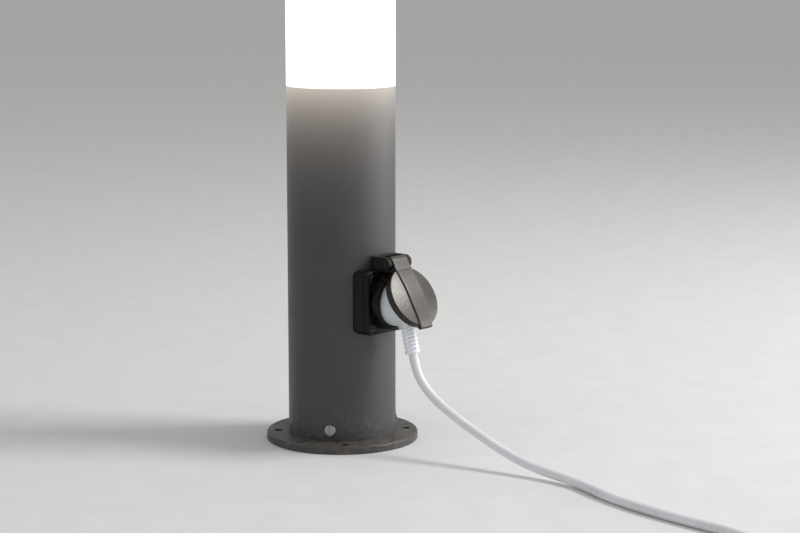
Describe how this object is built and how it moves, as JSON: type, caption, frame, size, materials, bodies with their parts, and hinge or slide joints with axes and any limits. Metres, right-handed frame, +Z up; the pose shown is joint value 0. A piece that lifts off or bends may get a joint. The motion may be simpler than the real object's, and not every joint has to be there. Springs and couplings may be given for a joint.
{
  "type": "garden socket post",
  "caption": "Round anthracite garden post with an opal lamp head and a side power socket whose hinged lid rests on an angled white plug with its lead.",
  "frame": {"origin": "centre of the foot's underside, on the tube's axis", "axes": "+Z up along the tube; the socket faces -Y; +X to the right seen from the front"},
  "size_m": [0.1567, 0.6361, 0.4496],
  "materials": {
    "anthracite": "fine-textured anthracite powder coat",
    "cast_aluminium": "cast, lightly blasted",
    "black_moulding": "black thermoplastic, satin",
    "lid_moulding": "black thermoplastic, spark-eroded grain",
    "white_moulding": "white thermoplastic, satin gloss",
    "white_sleeve": "soft white sleeve, satin",
    "white_jacket": "white flexible cable jacket",
    "black_rubber": "matt",
    "zinc_steel": "bright zinc plate",
    "stainless": "plain stainless",
    "brass": "bare brass",
    "nickel_brass": "nickel-plated brass",
    "brown_wire": "brown insulation",
    "blue_wire": "blue insulation",
    "earth_wire": "green insulation with a yellow band",
    "grey_moulding": "light grey thermoplastic",
    "opal": "opal diffusing plastic, lit from inside",
    "ceramic": "glazed white ceramic",
    "lamp_white": "white lamp body"
  },
  "bodies": {
    "post": {"base_plate": "anthracite", "entry_grommet": "black_rubber", "foot_screws": "stainless", "earth_stud": "brass", "earth_lug": "nickel_brass", "wire_foot_earth": "earth_wire", "post_tube": "anthracite", "terminal_bracket": "zinc_steel", "bracket_screws": "zinc_steel", "terminal_block": "grey_moulding", "terminal_block_screws": "zinc_steel", "wire_live": "brown_wire", "wire_earth": "earth_wire", "wire_neutral": "blue_wire", "lamp_lead": "white_jacket", "socket_saddle": "black_moulding", "socket_gasket": "black_rubber", "socket_body": "black_moulding", "socket_screws": "stainless", "socket_housing": "black_moulding", "live_contact": "nickel_brass", "neutral_contact": "nickel_brass", "earth_clip": "nickel_brass", "socket_terminal_screws": "zinc_steel", "hinge_pin": "stainless", "lid_spring": "stainless", "plug_body": "white_moulding", "plug_pins": "nickel_brass", "plug_earth_strips": "nickel_brass", "plug_strain_relief": "white_sleeve", "lead_run": "white_jacket", "lead_coil": "white_jacket", "lead_tail": "white_jacket", "coupler_relief": "white_sleeve", "coupler_body": "white_moulding", "coupler_clips": "nickel_brass", "head_collar": "cast_aluminium", "head_screws": "stainless", "head_seal": "black_rubber", "lamp_tray": "zinc_steel", "tray_screws": "zinc_steel", "lamp_holder": "ceramic", "holder_sleeve": "nickel_brass", "holder_contact": "brass", "lamp_cap": "nickel_brass", "lamp_body": "lamp_white", "lamp_globe": "opal", "diffuser": "opal", "top_cap": "anthracite", "cap_seal": "black_rubber"},
    "lid_leaf": {"lid": "lid_moulding", "lid_seal": "black_rubber"}
  },
  "joints": [
    {"name": "lid_hinge", "type": "hinge", "parent": "post", "child": "lid_leaf", "pos_m": [0, -0.056, 0.146], "axis": [-1, 0, 0], "range_deg": [0, 75], "stiffness_Nm_per_rad": 0.02, "springref_deg": -80.21}
  ]
}
